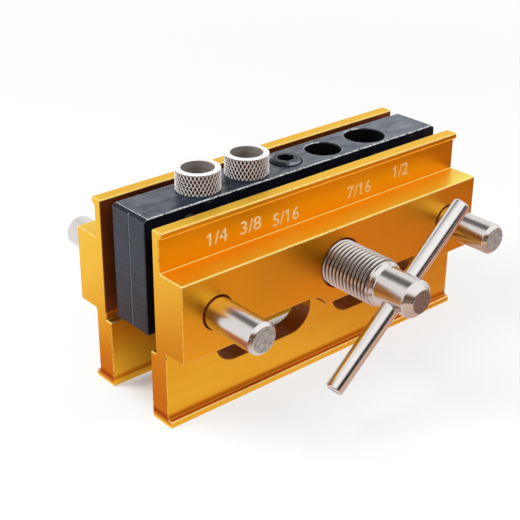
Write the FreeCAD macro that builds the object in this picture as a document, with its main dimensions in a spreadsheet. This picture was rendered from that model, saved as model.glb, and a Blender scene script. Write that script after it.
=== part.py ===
import FreeCAD, Part
import math
import os
import Sketcher
from types import SimpleNamespace

# Self centering doweling jig.
#
# Frame: X runs along the jig, Y across it (the clamping direction) and Z up.  The origin is the
# centre of the guide block's bottom face, which rests on the edge of the board.  The front jaw,
# with the turning head of the spindle, is on the -Y side.  Lengths are millimetres.

# The driving sizes, in millimetres and degrees
driving_sizes = {
    # Work
    "clamped_board": 19.5,  # thickness of the board between the pads

    # Guide block
    "block_length": 114.0,  # guide block, along X
    "block_width": 15.0,  # guide block, along Y
    "block_height": 35.2,  # guide block, along Z
    "block_end_chamfer": 1.0,  # chamfer on the top edge of each end
    "near_hole_offset": 15.2,  # inner drill holes, from the middle
    "far_hole_offset": 33.0,  # outer drill holes, from the middle
    "half_inch_hole": 12.7,  # 1/2 inch drill hole
    "seven_sixteenths_hole": 11.1125,  # 7/16 inch drill hole
    "mouth_break": 0.3,  # chamfer round the mouth of a drill hole
    "index_line_width": 0.5,  # scribed centre line on each end, across
    "index_line_depth": 0.25,  # scribed centre line, depth

    # Rods and spindle share one horizontal plane
    "axis_height": 10.9,  # rod and spindle axes, above the block's bottom
    "rod_offset": 46.05,  # rod axes, from the middle
    "rod_diameter": 9.525,  # guide rod
    "rod_length": 87.4,  # guide rod
    "rod_end_chamfer": 1.0,  # chamfer on each rod end

    "spindle_diameter": 14.288,  # spindle, over the thread crests
    "spindle_tail": 42.0,  # spindle's plain end, from the middle
    "spindle_front": 41.6,  # front thread's end, from the middle
    "spindle_head_diameter": 11.4,  # turning head
    "spindle_head_length": 14.4,  # turning head, past the thread
    "spindle_head_chamfer": 2.2,  # chamfer round the head's end face
    "spindle_tail_chamfer": 0.9,  # chamfer on the plain end
    "locating_groove_diameter": 10.2,  # groove root at the middle

    "tommy_bar_diameter": 5.2,  # tommy bar
    "tommy_bar_length": 64.0,  # tommy bar
    "tommy_bar_inset": 7.7,  # tommy bar's axis, behind the head's end face
    "tommy_bar_shift": -1.2,  # tommy bar's middle, along itself
    "tommy_bar_chamfer": 0.5,  # chamfer on each bar end
    "tommy_bar_angle": 41.2,  # tommy bar above the level, degrees
    "bar_hole_countersink": 0.55,  # depth of the countersinks of the tommy bar's hole

    # Jaws: heights are from the block's bottom, depths from the jaw's inner face
    "jaw_length": 116.0,  # jaw extrusion, along X
    "jaw_top": 34.6,  # top of the upper wall
    "wall_depth": 2.9,  # upper wall, inner to outer face
    "lip_depth": 4.05,  # top lip, inner to outer face
    "lip_height": 2.0,  # top lip
    "rail_top": 22.5,  # shelf on top of the thick rail
    "rail_depth": 12.6,  # thick rail, inner to outer face
    "rail_drop": 1.15,  # rail's underside, below the block's bottom
    "plate_depth": 4.75,  # clamping plate, inner to outer face
    "plate_drop": 24.9,  # clamping plate's bottom, below the block's bottom
    "pad_step": 2.4,  # pad stands this far inside the inner face
    "pad_drop": 3.3,  # pad's top, below the block's bottom
    "foot_depth": 6.4,  # bottom lip, inner to outer face
    "foot_height": 2.2,  # bottom lip
    "foot_slope": 0.8,  # sloping root above the bottom lip
    "cove_radius": 0.5,  # inner corners of the extrusion
    "edge_break": 0.3,  # outer corners of the jaws and the block
    "end_break": 0.2,  # sawn ends of the jaws
    "window_height": 15.0,  # round-ended window
    "window_near": 4.4,  # window's inner end, from the middle
    "window_far": 40.8,  # window's outer end, from the middle
    "window_centre_drop": 4.5,  # window's centre line, below the block
    "bore_break": 0.4,  # chamfer round the bores of a jaw

    # Drill bushings
    "bushing_bore": 9.525,  # 3/8 inch drill guide
    "bushing_shank": 11.1125,  # shank in the block
    "bushing_shank_length": 22.0,  # shank below the head
    "bushing_head_diameter": 13.05,  # knurled head
    "bushing_head_height": 6.7,  # knurled head
    "bushing_head_chamfer": 0.3,  # head's upper and lower edges
    "bushing_mouth_break": 0.2,  # chamfer at the top of the bore

    # Set screw that locates the spindle
    "set_screw_diameter": 9.525,  # set screw, over the thread
    "set_screw_proud": 1.0,  # set screw's top above the block
    "set_screw_chamfer": 0.8,  # chamfer on the set screw's top edge
    "set_screw_hex": 5.0,  # hexagon socket across flats
    "set_screw_hex_depth": 5.0,  # hexagon socket
    "set_screw_countersink": 0.5,  # countersink over the set screw
    "dog_point_diameter": 6.3,  # plain point in the spindle's groove
    "dog_point_height": 3.0,  # plain point

    # Clearances
    "running_clearance": 0.06,  # radial, spindle in block and jaws
    "sliding_clearance": 0.08,  # radial, jaws on the rods
    "bushing_clearance": 0.04,  # radial, bushing in the block
    "dog_point_clearance": 0.1,  # dog point in the groove, each side
    "dog_point_gap": 0.2,  # dog point's end above the groove's root
}

document = FreeCAD.newDocument("DowelingJig")
sheet = document.addObject("Spreadsheet::Sheet", "Sizes")


class Size:
    """A number together with the spreadsheet formula that it comes from."""

    def __init__(self, number, formula):
        self.number = number
        self.formula = formula

    def combine(self, other, sign, number):
        right = other.formula if isinstance(other, Size) else repr(other)
        return Size(number, "(" + self.formula + " " + sign + " " + right + ")")

    def __add__(self, other):
        return self.combine(other, "+", self.number + number_of(other))

    def __sub__(self, other):
        return self.combine(other, "-", self.number - number_of(other))

    def __mul__(self, other):
        return self.combine(other, "*", self.number * number_of(other))

    def __truediv__(self, other):
        return self.combine(other, "/", self.number / number_of(other))

    def __neg__(self):
        return Size(-self.number, "(-1 * " + self.formula + ")")


def number_of(value):
    return value.number if isinstance(value, Size) else value


# Each driving size gets a row of the sheet, and cell.NAME is that row's cell with its number.
cell = SimpleNamespace()
for row, (name, number) in enumerate(driving_sizes.items(), start=1):
    sheet.set("A%d" % row, name)
    sheet.set("B%d" % row, str(number))
    sheet.setAlias("B%d" % row, name)
    setattr(cell, name, Size(number, "Sizes." + name))

jaw_face_offset = cell.clamped_board / 2 + cell.pad_step
groove_half_width = cell.dog_point_diameter / 2 + cell.dog_point_clearance
spindle_shoulder = (cell.spindle_diameter - cell.spindle_head_diameter) / 2
spindle_head_end = cell.spindle_front + cell.spindle_head_length
tommy_bar_offset = spindle_head_end - cell.tommy_bar_inset
dog_point_bottom = cell.axis_height + cell.locating_groove_diameter / 2 + cell.dog_point_gap
zero = Size(0.0, "0")
same_place = 0.001  # lengths that differ by less are one and the same
least_cut = 0.01  # mm3, a cut that takes less has missed the solid


def start_body(label):
    body = document.addObject("PartDesign::Body", label)
    body.Label = label
    return body


def start_sketch(body, name, plane_role):
    """A sketch on one of the body's own origin planes."""
    sketch = body.newObject("Sketcher::SketchObject", name)
    planes = [item for item in body.Origin.OriginFeatures if item.Role == plane_role]
    sketch.AttachmentSupport = [(planes[0], "")]
    sketch.MapMode = "FlatFace"
    return sketch


def hold_point(sketch, geometry, point, across, up):
    """Ties one point of a geometry to the sketch's origin by two sizes."""
    for kind, size in (("DistanceX", across), ("DistanceY", up)):
        constraint = Sketcher.Constraint(kind, -1, 1, geometry, point, size.number)
        index = sketch.addConstraint(constraint)
        sketch.setExpression("Constraints[%d]" % index, size.formula)


def draw_polygon(sketch, corners):
    """A closed outline whose corners are pairs of sizes."""
    first = sketch.GeometryCount
    count = len(corners)
    places = [FreeCAD.Vector(across.number, up.number, 0) for across, up in corners]
    for index in range(count):
        line = Part.LineSegment(places[index], places[(index + 1) % count])
        sketch.addGeometry(line)
    for index in range(count):
        following = first + (index + 1) % count
        sketch.addConstraint(Sketcher.Constraint("Coincident", first + index, 2, following, 1))
    for index, (across, up) in enumerate(corners):
        hold_point(sketch, first + index, 1, across, up)


def draw_circle(sketch, across, up, diameter):
    centre = FreeCAD.Vector(across.number, up.number, 0)
    circle = Part.Circle(centre, FreeCAD.Vector(0, 0, 1), diameter.number / 2)
    geometry = sketch.addGeometry(circle)
    hold_point(sketch, geometry, 3, across, up)
    constraint = Sketcher.Constraint("Diameter", geometry, diameter.number)
    index = sketch.addConstraint(constraint)
    sketch.setExpression("Constraints[%d]" % index, diameter.formula)


def draw_window(sketch, left, right, up, height):
    """A level slot with round ends, from its left end to its right end."""
    radius = height / 2
    up_axis = FreeCAD.Vector(0, 0, 1)
    quarter = math.pi / 2
    arcs = []
    for end, turn in ((left + radius, quarter), (right - radius, -quarter)):
        centre = FreeCAD.Vector(end.number, up.number, 0)
        circle = Part.Circle(centre, up_axis, radius.number)
        arc = sketch.addGeometry(Part.ArcOfCircle(circle, turn, turn + 2 * quarter))
        hold_point(sketch, arc, 3, end, up)
        arcs.append(arc)
    index = sketch.addConstraint(Sketcher.Constraint("Radius", arcs[0], radius.number))
    sketch.setExpression("Constraints[%d]" % index, radius.formula)
    sketch.addConstraint(Sketcher.Constraint("Equal", arcs[0], arcs[1]))
    for side, (left_point, right_point) in ((-1, (2, 1)), (1, (1, 2))):
        level = up.number + side * radius.number
        start = FreeCAD.Vector((left + radius).number, level, 0)
        finish = FreeCAD.Vector((right - radius).number, level, 0)
        line = sketch.addGeometry(Part.LineSegment(start, finish))
        sketch.addConstraint(Sketcher.Constraint("Tangent", arcs[0], left_point, line, 1))
        sketch.addConstraint(Sketcher.Constraint("Tangent", arcs[1], right_point, line, 2))


def extrude(body, name, sketch, length):
    """Material to both sides of the sketch's plane."""
    pad = body.newObject("PartDesign::Pad", name)
    pad.Profile = sketch
    pad.SideType = "Symmetric"
    pad.setExpression("Length", length.formula)
    document.recompute()


def revolve(body, name, sketch):
    """Turns the sketch about its own vertical axis."""
    turned = body.newObject("PartDesign::Revolution", name)
    turned.Profile = sketch
    turned.ReferenceAxis = (sketch, ["V_Axis"])
    turned.Angle = 360.0
    document.recompute()


def turn_away(body, name, sketch):
    """Cuts away the sketch turned about its own horizontal axis."""
    before = body.Shape.Volume
    groove = body.newObject("PartDesign::Groove", name)
    groove.Profile = sketch
    groove.ReferenceAxis = (sketch, ["H_Axis"])
    groove.Angle = 360.0
    document.recompute()
    if body.Shape.Volume > before - least_cut:
        raise RuntimeError(name + " cuts nothing")


def cut(body, name, sketch, depth=None):
    """Cuts right through both ways, or down to a depth against the sketch's normal."""
    before = body.Shape.Volume
    pocket = body.newObject("PartDesign::Pocket", name)
    pocket.Profile = sketch
    if depth is None:
        pocket.Type = "ThroughAll"
        pocket.SideType = "Symmetric"
    else:
        pocket.Type = "Length"
        pocket.setExpression("Length", depth.formula)
    document.recompute()
    if body.Shape.Volume > before - least_cut:
        raise RuntimeError(name + " cuts nothing")


def dress(body, kind, name, size, chosen):
    """A chamfer or a fillet on the edges of the body's tip that pass the test."""
    base = body.Tip
    names = []
    for index, edge in enumerate(base.Shape.Edges):
        if chosen(edge):
            names.append("Edge%d" % (index + 1))
    if not names:
        raise RuntimeError(name + " finds no edge")
    feature = body.newObject("PartDesign::" + kind, name)
    feature.Base = (base, names)
    feature.setExpression("Radius" if kind == "Fillet" else "Size", size.formula)
    document.recompute()


def close(first, second):
    return abs(first - number_of(second)) < same_place


def middle_of(edge):
    return edge.valueAt((edge.FirstParameter + edge.LastParameter) / 2)


def runs_along_x(edge):
    box = edge.BoundBox
    return box.YLength < same_place and box.ZLength < same_place


def is_circle(edge, diameter):
    return isinstance(edge.Curve, Part.Circle) and close(2 * edge.Curve.Radius, diameter)


def place(body, across=zero, depth=zero, up=zero):
    body.setExpression("Placement.Base.x", across.formula)
    body.setExpression("Placement.Base.y", depth.formula)
    body.setExpression("Placement.Base.z", up.formula)
    document.recompute()


def make_guide_block():
    """The steel block that guides the drill: it carries the rods, the spindle and the bushings."""
    body = start_body("guide_block")
    end = cell.block_length / 2
    shoulder = cell.block_height - cell.block_end_chamfer
    outline = start_sketch(body, "BlockOutline", "XZ_Plane")
    draw_polygon(outline, (
        (-end, zero),
        (end, zero),
        (end, shoulder),
        (end - cell.block_end_chamfer, cell.block_height),
        (cell.block_end_chamfer - end, cell.block_height),
        (-end, shoulder),
    ))
    extrude(body, "Block", outline, cell.block_width)
    dress(body, "Chamfer", "BlockTopEdges", cell.edge_break,
          lambda edge: runs_along_x(edge) and close(middle_of(edge).z, cell.block_height))

    drilled = start_sketch(body, "DrillHoleCentres", "XY_Plane")
    bushing_seat = cell.bushing_shank + cell.bushing_clearance * 2
    drill_holes = (
        (-cell.far_hole_offset, bushing_seat),
        (-cell.near_hole_offset, bushing_seat),
        (cell.near_hole_offset, cell.seven_sixteenths_hole),
        (cell.far_hole_offset, cell.half_inch_hole),
    )
    for across, diameter in drill_holes:
        draw_circle(drilled, across, zero, diameter)
    cut(body, "DrillHoles", drilled)

    tapped = start_sketch(body, "SetScrewCentre", "XY_Plane")
    tapped.setExpression("AttachmentOffset.Base.z", cell.block_height.formula)
    draw_circle(tapped, zero, zero, cell.set_screw_diameter)
    cut(body, "SetScrewHole", tapped, cell.block_height - cell.axis_height)

    crossed = start_sketch(body, "CrossHoleCentres", "XZ_Plane")
    for across in (-cell.rod_offset, cell.rod_offset):
        draw_circle(crossed, across, cell.axis_height, cell.rod_diameter)
    draw_circle(crossed, zero, cell.axis_height, cell.spindle_diameter + cell.running_clearance * 2)
    cut(body, "CrossHoles", crossed)

    dress(body, "Chamfer", "DrillHoleMouths", cell.mouth_break,
          lambda edge: close(edge.BoundBox.ZLength, 0) and close(middle_of(edge).z, cell.block_height)
          and any(is_circle(edge, diameter) for across, diameter in drill_holes))
    dress(body, "Chamfer", "SetScrewMouth", cell.set_screw_countersink,
          lambda edge: is_circle(edge, cell.set_screw_diameter)
          and close(edge.BoundBox.ZLength, 0) and close(middle_of(edge).z, cell.block_height))

    scribed = start_sketch(body, "IndexLines", "XY_Plane")
    half_line = cell.index_line_width / 2
    for side in (-1, 1):
        draw_polygon(scribed, (
            (end * side, -half_line),
            ((end - cell.index_line_depth) * side, zero),
            (end * side, half_line),
        ))
    cut(body, "ScribedLines", scribed)
    place(body)
    return body


def make_jaw(label, faces_back):
    """One jaw: an extrusion with a thin upper wall, a thick bored rail and a clamping plate.

    Its own frame has the inner face at Y = 0 and the outer side towards -Y.  The rear jaw is
    the same piece turned half a turn.
    """
    body = start_body(label)
    foot_top = cell.foot_height - cell.plate_drop
    profile = start_sketch(body, "JawProfile", "YZ_Plane")
    corners = (
        (cell.pad_step, -cell.plate_drop),
        (cell.pad_step, -cell.pad_drop),
        (zero, -cell.pad_drop),
        (zero, cell.jaw_top),
        (-cell.lip_depth, cell.jaw_top),
        (-cell.lip_depth, cell.jaw_top - cell.lip_height),
        (-cell.wall_depth, cell.jaw_top - cell.lip_height),
        (-cell.wall_depth, cell.rail_top),
        (-cell.rail_depth, cell.rail_top),
        (-cell.rail_depth, -cell.rail_drop),
        (-cell.plate_depth, -cell.rail_drop),
        (-cell.plate_depth, foot_top + cell.foot_slope),
        (-(cell.plate_depth + cell.foot_slope * 0.5), foot_top),
        (-cell.foot_depth, foot_top),
        (-cell.foot_depth, -cell.plate_drop),
    )
    draw_polygon(profile, corners)
    extrude(body, "Extrusion", profile, cell.jaw_length)

    def passes_through(edge, points):
        if not runs_along_x(edge):
            return False
        middle = middle_of(edge)
        return any(close(middle.y, depth) and close(middle.z, up) for depth, up in points)

    coves = (corners[2], corners[6], corners[7], corners[10])
    breaks = [corner for corner in corners if corner not in coves + corners[11:13]]
    dress(body, "Fillet", "InnerCorners", cell.cove_radius,
          lambda edge: passes_through(edge, coves))
    dress(body, "Chamfer", "OuterCorners", cell.edge_break,
          lambda edge: passes_through(edge, breaks))
    dress(body, "Chamfer", "SawnEnds", cell.end_break,
          lambda edge: close(abs(edge.BoundBox.XMin), cell.jaw_length / 2)
          and close(edge.BoundBox.XLength, 0))

    windows = start_sketch(body, "WindowOutlines", "XZ_Plane")
    for ends in ((-cell.window_far, -cell.window_near), (cell.window_near, cell.window_far)):
        draw_window(windows, *ends, -cell.window_centre_drop, cell.window_height)
    cut(body, "Windows", windows)

    bored = start_sketch(body, "BoreCentres", "XZ_Plane")
    rod_bore = cell.rod_diameter + cell.sliding_clearance * 2
    spindle_bore = cell.spindle_diameter + cell.running_clearance * 2
    for across in (-cell.rod_offset, cell.rod_offset):
        draw_circle(bored, across, cell.axis_height, rod_bore)
    draw_circle(bored, zero, cell.axis_height, spindle_bore)
    cut(body, "Bores", bored)
    dress(body, "Chamfer", "BoreMouths", cell.bore_break,
          lambda edge: is_circle(edge, rod_bore) or is_circle(edge, spindle_bore))

    if faces_back:
        body.Placement.Rotation = FreeCAD.Rotation(FreeCAD.Vector(0, 0, 1), 180)
        place(body, depth=jaw_face_offset)
    else:
        place(body, depth=-jaw_face_offset)
    return body


def make_guide_rod(label, across):
    """A ground rod, pressed through the block, that both jaws slide on."""
    body = start_body(label)
    radius = cell.rod_diameter / 2
    end = cell.rod_length / 2
    profile = start_sketch(body, "RodProfile", "XY_Plane")
    draw_polygon(profile, (
        (zero, -end),
        (radius - cell.rod_end_chamfer, -end),
        (radius, cell.rod_end_chamfer - end),
        (radius, end - cell.rod_end_chamfer),
        (radius - cell.rod_end_chamfer, end),
        (zero, end),
    ))
    revolve(body, "Rod", profile)
    place(body, across=across, up=cell.axis_height)
    return body


def make_clamp_spindle():
    """The clamping screw, with one hand of thread each side of a locating groove.

    Its head is crossed by the tommy bar.  The threads themselves are left plain, at their
    crest diameter.
    """
    body = start_body("clamp_spindle")
    radius = cell.spindle_diameter / 2
    root = cell.locating_groove_diameter / 2
    head = cell.spindle_head_diameter / 2
    profile = start_sketch(body, "SpindleProfile", "XY_Plane")
    draw_polygon(profile, (
        (zero, cell.spindle_tail),
        (radius - cell.spindle_tail_chamfer, cell.spindle_tail),
        (radius, cell.spindle_tail - cell.spindle_tail_chamfer),
        (radius, groove_half_width),
        (root, groove_half_width),
        (root, -groove_half_width),
        (radius, -groove_half_width),
        (radius, -cell.spindle_front),
        (head, -(cell.spindle_front + spindle_shoulder)),
        (head, cell.spindle_head_chamfer - spindle_head_end),
        (head - cell.spindle_head_chamfer, -spindle_head_end),
        (zero, -spindle_head_end),
    ))
    revolve(body, "Spindle", profile)

    crossed = start_sketch(body, "BarHoleCentre", "YZ_Plane")
    draw_circle(crossed, -tommy_bar_offset, zero, cell.tommy_bar_diameter)
    cut(body, "BarHole", crossed)

    sunk = start_sketch(body, "BarHoleCountersinks", "XY_Plane")
    sunk.setExpression("AttachmentOffset.Base.y", (-tommy_bar_offset).formula)
    hole = cell.tommy_bar_diameter / 2
    inner = head - cell.bar_hole_countersink
    outer = head + cell.bar_hole_countersink
    for side in (-1, 1):
        draw_polygon(sunk, (
            (inner * side, zero),
            (inner * side, hole),
            (outer * side, hole + cell.bar_hole_countersink * 2),
            (outer * side, zero),
        ))
    turn_away(body, "Countersinks", sunk)
    turn_with_bar(body)
    return body


def turn_with_bar(body):
    """Places a piece that turns with the spindle at the angle where the tommy bar stands."""
    body.Placement.Rotation = FreeCAD.Rotation(FreeCAD.Vector(0, 1, 0), -10)
    body.setExpression("Placement.Rotation.Angle", (-cell.tommy_bar_angle).formula)
    place(body, up=cell.axis_height)


def make_tommy_bar():
    """The plain bar that is pressed through the spindle's head."""
    body = start_body("tommy_bar")
    section = start_sketch(body, "BarSection", "YZ_Plane")
    section.setExpression("AttachmentOffset.Base.z", cell.tommy_bar_shift.formula)
    draw_circle(section, -tommy_bar_offset, zero, cell.tommy_bar_diameter)
    extrude(body, "Bar", section, cell.tommy_bar_length)
    dress(body, "Chamfer", "BarEnds", cell.tommy_bar_chamfer,
          lambda edge: is_circle(edge, cell.tommy_bar_diameter))
    turn_with_bar(body)
    return body


def make_drill_bushing(label, across):
    """A hardened bushing that stands in the block, with a knurled head to pull it by."""
    body = start_body(label)
    bore = cell.bushing_bore / 2
    shank = cell.bushing_shank / 2
    head = cell.bushing_head_diameter / 2
    top = cell.bushing_head_height
    profile = start_sketch(body, "BushingProfile", "XZ_Plane")
    draw_polygon(profile, (
        (bore, -cell.bushing_shank_length),
        (shank - cell.bushing_head_chamfer, -cell.bushing_shank_length),
        (shank, cell.bushing_head_chamfer - cell.bushing_shank_length),
        (shank, zero),
        (head - cell.bushing_head_chamfer, zero),
        (head, cell.bushing_head_chamfer),
        (head, top - cell.bushing_head_chamfer),
        (head - cell.bushing_head_chamfer, top),
        (bore + cell.bushing_mouth_break, top),
        (bore, top - cell.bushing_mouth_break),
    ))
    revolve(body, "Bushing", profile)
    place(body, across=across, up=cell.block_height)
    return body


def make_set_screw():
    """The dog point screw in the middle of the block that keeps the spindle centred."""
    body = start_body("spindle_set_screw")
    radius = cell.set_screw_diameter / 2
    point = cell.dog_point_diameter / 2
    top = cell.block_height + cell.set_screw_proud
    profile = start_sketch(body, "SetScrewProfile", "XZ_Plane")
    draw_polygon(profile, (
        (zero, dog_point_bottom),
        (point, dog_point_bottom),
        (point, dog_point_bottom + cell.dog_point_height),
        (radius, dog_point_bottom + cell.dog_point_height),
        (radius, top - cell.set_screw_chamfer),
        (radius - cell.set_screw_chamfer, top),
        (zero, top),
    ))
    revolve(body, "SetScrew", profile)

    socket = start_sketch(body, "SocketOutline", "XY_Plane")
    socket.setExpression("AttachmentOffset.Base.z", top.formula)
    flat = cell.set_screw_hex / 2
    corner = cell.set_screw_hex / math.sqrt(3)
    draw_polygon(socket, (
        (corner, zero),
        (corner / 2, flat),
        (-(corner / 2), flat),
        (-corner, zero),
        (-(corner / 2), -flat),
        (corner / 2, -flat),
    ))
    cut(body, "HexSocket", socket, cell.set_screw_hex_depth)
    place(body)
    return body


def check_document():
    """Stops if any object failed to recompute."""
    for item in document.Objects:
        if "Invalid" in item.State or "Error" in item.State:
            raise RuntimeError(item.Label + " is in state " + str(item.State))


document.recompute()
pieces = [
    make_guide_block(),
    make_jaw("front_jaw", faces_back=False),
    make_jaw("rear_jaw", faces_back=True),
    make_guide_rod("guide_rod_left", -cell.rod_offset),
    make_guide_rod("guide_rod_right", cell.rod_offset),
    make_clamp_spindle(),
    make_tommy_bar(),
    make_drill_bushing("drill_bushing_left", -cell.far_hole_offset),
    make_drill_bushing("drill_bushing_right", -cell.near_hole_offset),
    make_set_screw(),
]
document.recompute()
check_document()
for piece in pieces:
    shape = piece.Shape
    if shape.isNull() or not shape.isValid() or len(shape.Solids) != 1:
        raise RuntimeError(piece.Label + " is not one valid solid")

os.makedirs("parts", exist_ok=True)
for piece in pieces:
    piece.Shape.exportStep("parts/" + piece.Label + ".step")
    box = piece.Shape.BoundBox
    print("%-20s %9.1f mm3  x %6.1f %6.1f  y %6.1f %6.1f  z %6.1f %6.1f" % (
        piece.Label, piece.Shape.Volume, box.XMin, box.XMax, box.YMin, box.YMax,
        box.ZMin, box.ZMax))
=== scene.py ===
import math
import bmesh
import bpy
import numpy as np
from mathutils import Matrix, Vector


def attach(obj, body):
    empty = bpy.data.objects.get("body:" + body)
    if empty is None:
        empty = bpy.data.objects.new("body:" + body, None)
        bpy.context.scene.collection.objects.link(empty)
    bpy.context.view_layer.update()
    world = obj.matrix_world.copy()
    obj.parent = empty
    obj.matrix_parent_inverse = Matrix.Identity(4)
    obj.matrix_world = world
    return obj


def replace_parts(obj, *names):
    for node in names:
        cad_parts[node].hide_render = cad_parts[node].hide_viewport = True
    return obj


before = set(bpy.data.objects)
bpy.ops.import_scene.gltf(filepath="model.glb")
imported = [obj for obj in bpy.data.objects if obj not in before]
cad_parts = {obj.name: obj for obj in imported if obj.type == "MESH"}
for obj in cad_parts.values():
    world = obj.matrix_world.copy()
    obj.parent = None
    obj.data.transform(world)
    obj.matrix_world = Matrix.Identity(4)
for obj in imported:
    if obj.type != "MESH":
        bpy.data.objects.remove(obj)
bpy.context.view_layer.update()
mm = 0.001
fullTurn = 2 * math.pi
print("frame loaded")


class Value:
    # One output of a material's node. Used in an expression, it adds the Math nodes it needs.
    def __init__(self, shader, socket):
        self.shader = shader
        self.socket = socket

    def math(self, operation, *others, **settings):
        inputs = dict(enumerate((self,) + others))
        return self.shader.node("ShaderNodeMath", {"operation": operation, **settings}, inputs)

    def __add__(self, other):
        return self.math("ADD", other)

    def __sub__(self, other):
        return self.math("SUBTRACT", other)

    def __rsub__(self, other):
        return (self * -1).math("ADD", other)

    def __mul__(self, other):
        return self.math("MULTIPLY", other)

    __radd__ = __add__
    __rmul__ = __mul__

    def size(self):
        return self.math("ABSOLUTE")

    def clamped(self):
        return self.math("ADD", 0.0, use_clamp=True)

    def most(self, other):
        return self.math("MAXIMUM", other)

    def ramp(self, low, high):
        # 0 below low, 1 above high, straight between; high may be the smaller one. On noise,
        # whose middle is 0.5, the two pick how much of it shows and how sharply.
        return ((self - low) * (1 / (high - low))).clamped()

    def over(self, level, soft=0.1):
        # 0 up to a level and 1 from a little over it
        return self.ramp(level, level + soft)

    def under(self, level, soft=0.1):
        # 0 from a level up and 1 from a little under it
        return self.ramp(level, level - soft)


class Shader:
    # The nodes of one material, of the world or of a stage surface. A material for a round
    # piece has its pattern centred on the piece, with Z along its axis.
    def __init__(self, tree, centre=None, axis=(0, 0, 1)):
        tree.nodes.clear()
        self.tree = tree
        self.place = self.node("ShaderNodeTexCoord", output="Object")
        if centre is not None:
            lean = Vector(axis).to_track_quat("Z", "Y").to_euler()
            self.place = self.node("ShaderNodeMapping", {"vector_type": "TEXTURE"},
                                   {"Vector": self.place, "Rotation": tuple(lean),
                                    "Location": tuple(part * mm for part in centre)})

    def node(self, kind, settings=None, inputs=None, output=0):
        node = self.tree.nodes.new(kind)
        for name, value in (settings or {}).items():
            if name == "stops":
                self.setStops(node, value)
            else:
                setattr(node, name, value)
        for name, value in (inputs or {}).items():
            self.feed(node.inputs[name], value)
        return Value(self, node.outputs[output]) if node.outputs else None

    def setStops(self, node, stops):
        elements = node.color_ramp.elements
        while len(elements) < len(stops):
            elements.new(0.5)
        for element, (position, colour) in zip(elements, stops):
            element.position = position
            element.color = colour

    def feed(self, socket, value):
        if isinstance(value, Value):
            self.tree.links.new(value.socket, socket)
        elif isinstance(value, (tuple, list)) and len(value) == 3 and socket.type == "RGBA":
            socket.default_value = (*value, 1.0)
        else:
            socket.default_value = value

    def part(self, vector, letter):
        return self.node("ShaderNodeSeparateXYZ", inputs={0: vector}, output=letter)

    def along(self, letter):
        # The place along X, Y or Z, in mm
        return self.part(self.place, letter) * (1 / mm)

    def dot(self, first, second):
        return self.node("ShaderNodeVectorMath", {"operation": "DOT_PRODUCT"},
                         {0: first, 1: second}, output="Value")

    def away(self, across, up):
        # Distance in mm from a line along Y at this X and Z
        aside = self.along("X") - across
        above = self.along("Z") - up
        return (aside * aside + above * above).math("SQRT")

    def facing(self, direction):
        # How much the surface faces along a direction, 0 to 1, either way
        normal = self.node("ShaderNodeTexCoord", output="Normal")
        return self.dot(normal, direction).size()

    def squareTo(self, direction):
        # 1 on the faces square to a direction
        return self.facing(direction).ramp(0.85, 0.97)

    def slanting(self, first, second):
        # 1 on the narrow faces that break an edge between two directions
        return self.facing(first).ramp(0.5, 0.65) * self.facing(second).ramp(0.5, 0.65)

    def realNormal(self):
        return self.node("ShaderNodeNewGeometry", output="Normal")

    def turned(self, factor, normal, lift):
        # Where factor is 1, the surface faces along its real normal with this much Z added
        bent = self.node("ShaderNodeVectorMath", {"operation": "ADD"},
                         {0: self.realNormal(), 1: (0.0, 0.0, lift)})
        bent = self.node("ShaderNodeVectorMath", {"operation": "NORMALIZE"}, {0: bent})
        return self.between(factor, normal, bent)

    def noise(self, sizes, detail=2.0, roughness=0.5, shift=(0.0, 0.0, 0.0)):
        # Noise whose grains have these three lengths, in mm
        scale = tuple(1 / (length * mm) for length in sizes)
        place = self.node("ShaderNodeMapping", inputs={"Vector": self.place, "Scale": scale,
                                                       "Location": shift})
        return self.node("ShaderNodeTexNoise", inputs={
            "Vector": place, "Scale": 1.0, "Detail": detail, "Roughness": roughness})

    def mixed(self, factor, first, second):
        # From one colour to another
        return self.node("ShaderNodeMix", {"data_type": "RGBA"},
                         {0: factor, 6: first, 7: second}, output=2)

    def layered(self, settings, first, *layers):
        # A colour of the settings with others laid over it in turn, each where its mask is 1
        colour = settings[first]
        for mask, name in layers:
            colour = self.mixed(mask, colour, settings[name])
        return colour

    def between(self, factor, first, second):
        # From one direction to another
        return self.node("ShaderNodeMix", {"data_type": "VECTOR"},
                         {0: factor, 4: first, 5: second}, output=1)

    def bump(self, height, depth, before=None):
        # Raises the surface by height, 0 to 1, times depth in mm
        inputs = {"Height": height, "Distance": depth * mm}
        if before is not None:
            inputs["Normal"] = before
        return self.node("ShaderNodeBump", inputs=inputs)

    def rounded(self, radius, upright=True):
        # The normal of a surface whose edges are rounded, its upright ones only if wanted
        soft = self.node("ShaderNodeBevel", {"samples": 8}, {"Radius": radius * mm})
        if upright:
            return soft
        leaning = self.part(soft, "Z").size().ramp(0.08, 0.25)
        return self.between(leaning, self.realNormal(), soft)

    def edges(self, rounded, sharp, soft):
        # 1 on edges, 0 on faces: where the rounded normal leaves the real one
        return self.dot(rounded, self.realNormal()).ramp(soft, sharp)

    def depth(self):
        # How deep the surface lies in its relief, as a share, kept on the mesh
        return self.node("ShaderNodeAttribute", {"attribute_name": "depth"}, output="Fac")

    def ray(self, kind):
        return self.node("ShaderNodeLightPath", output=f"Is {kind} Ray")

    def metal(self, **sockets):
        # The one Principled shader of a material and its output
        names = {"colour": "Base Color", "roughness": "Roughness", "metallic": "Metallic",
                 "normal": "Normal", "coat": "Coat Weight", "coatRoughness": "Coat Roughness",
                 "ior": "IOR"}
        inputs = {names[name]: value for name, value in sockets.items()}
        surface = self.node("ShaderNodeBsdfPrincipled", inputs=inputs)
        self.node("ShaderNodeOutputMaterial", inputs={"Surface": surface})


def newMaterial(name, centre=None, axis=(0, 0, 1)):
    material = bpy.data.materials.new(name)
    material.use_nodes = True
    return material, Shader(material.node_tree, centre, axis)


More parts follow.
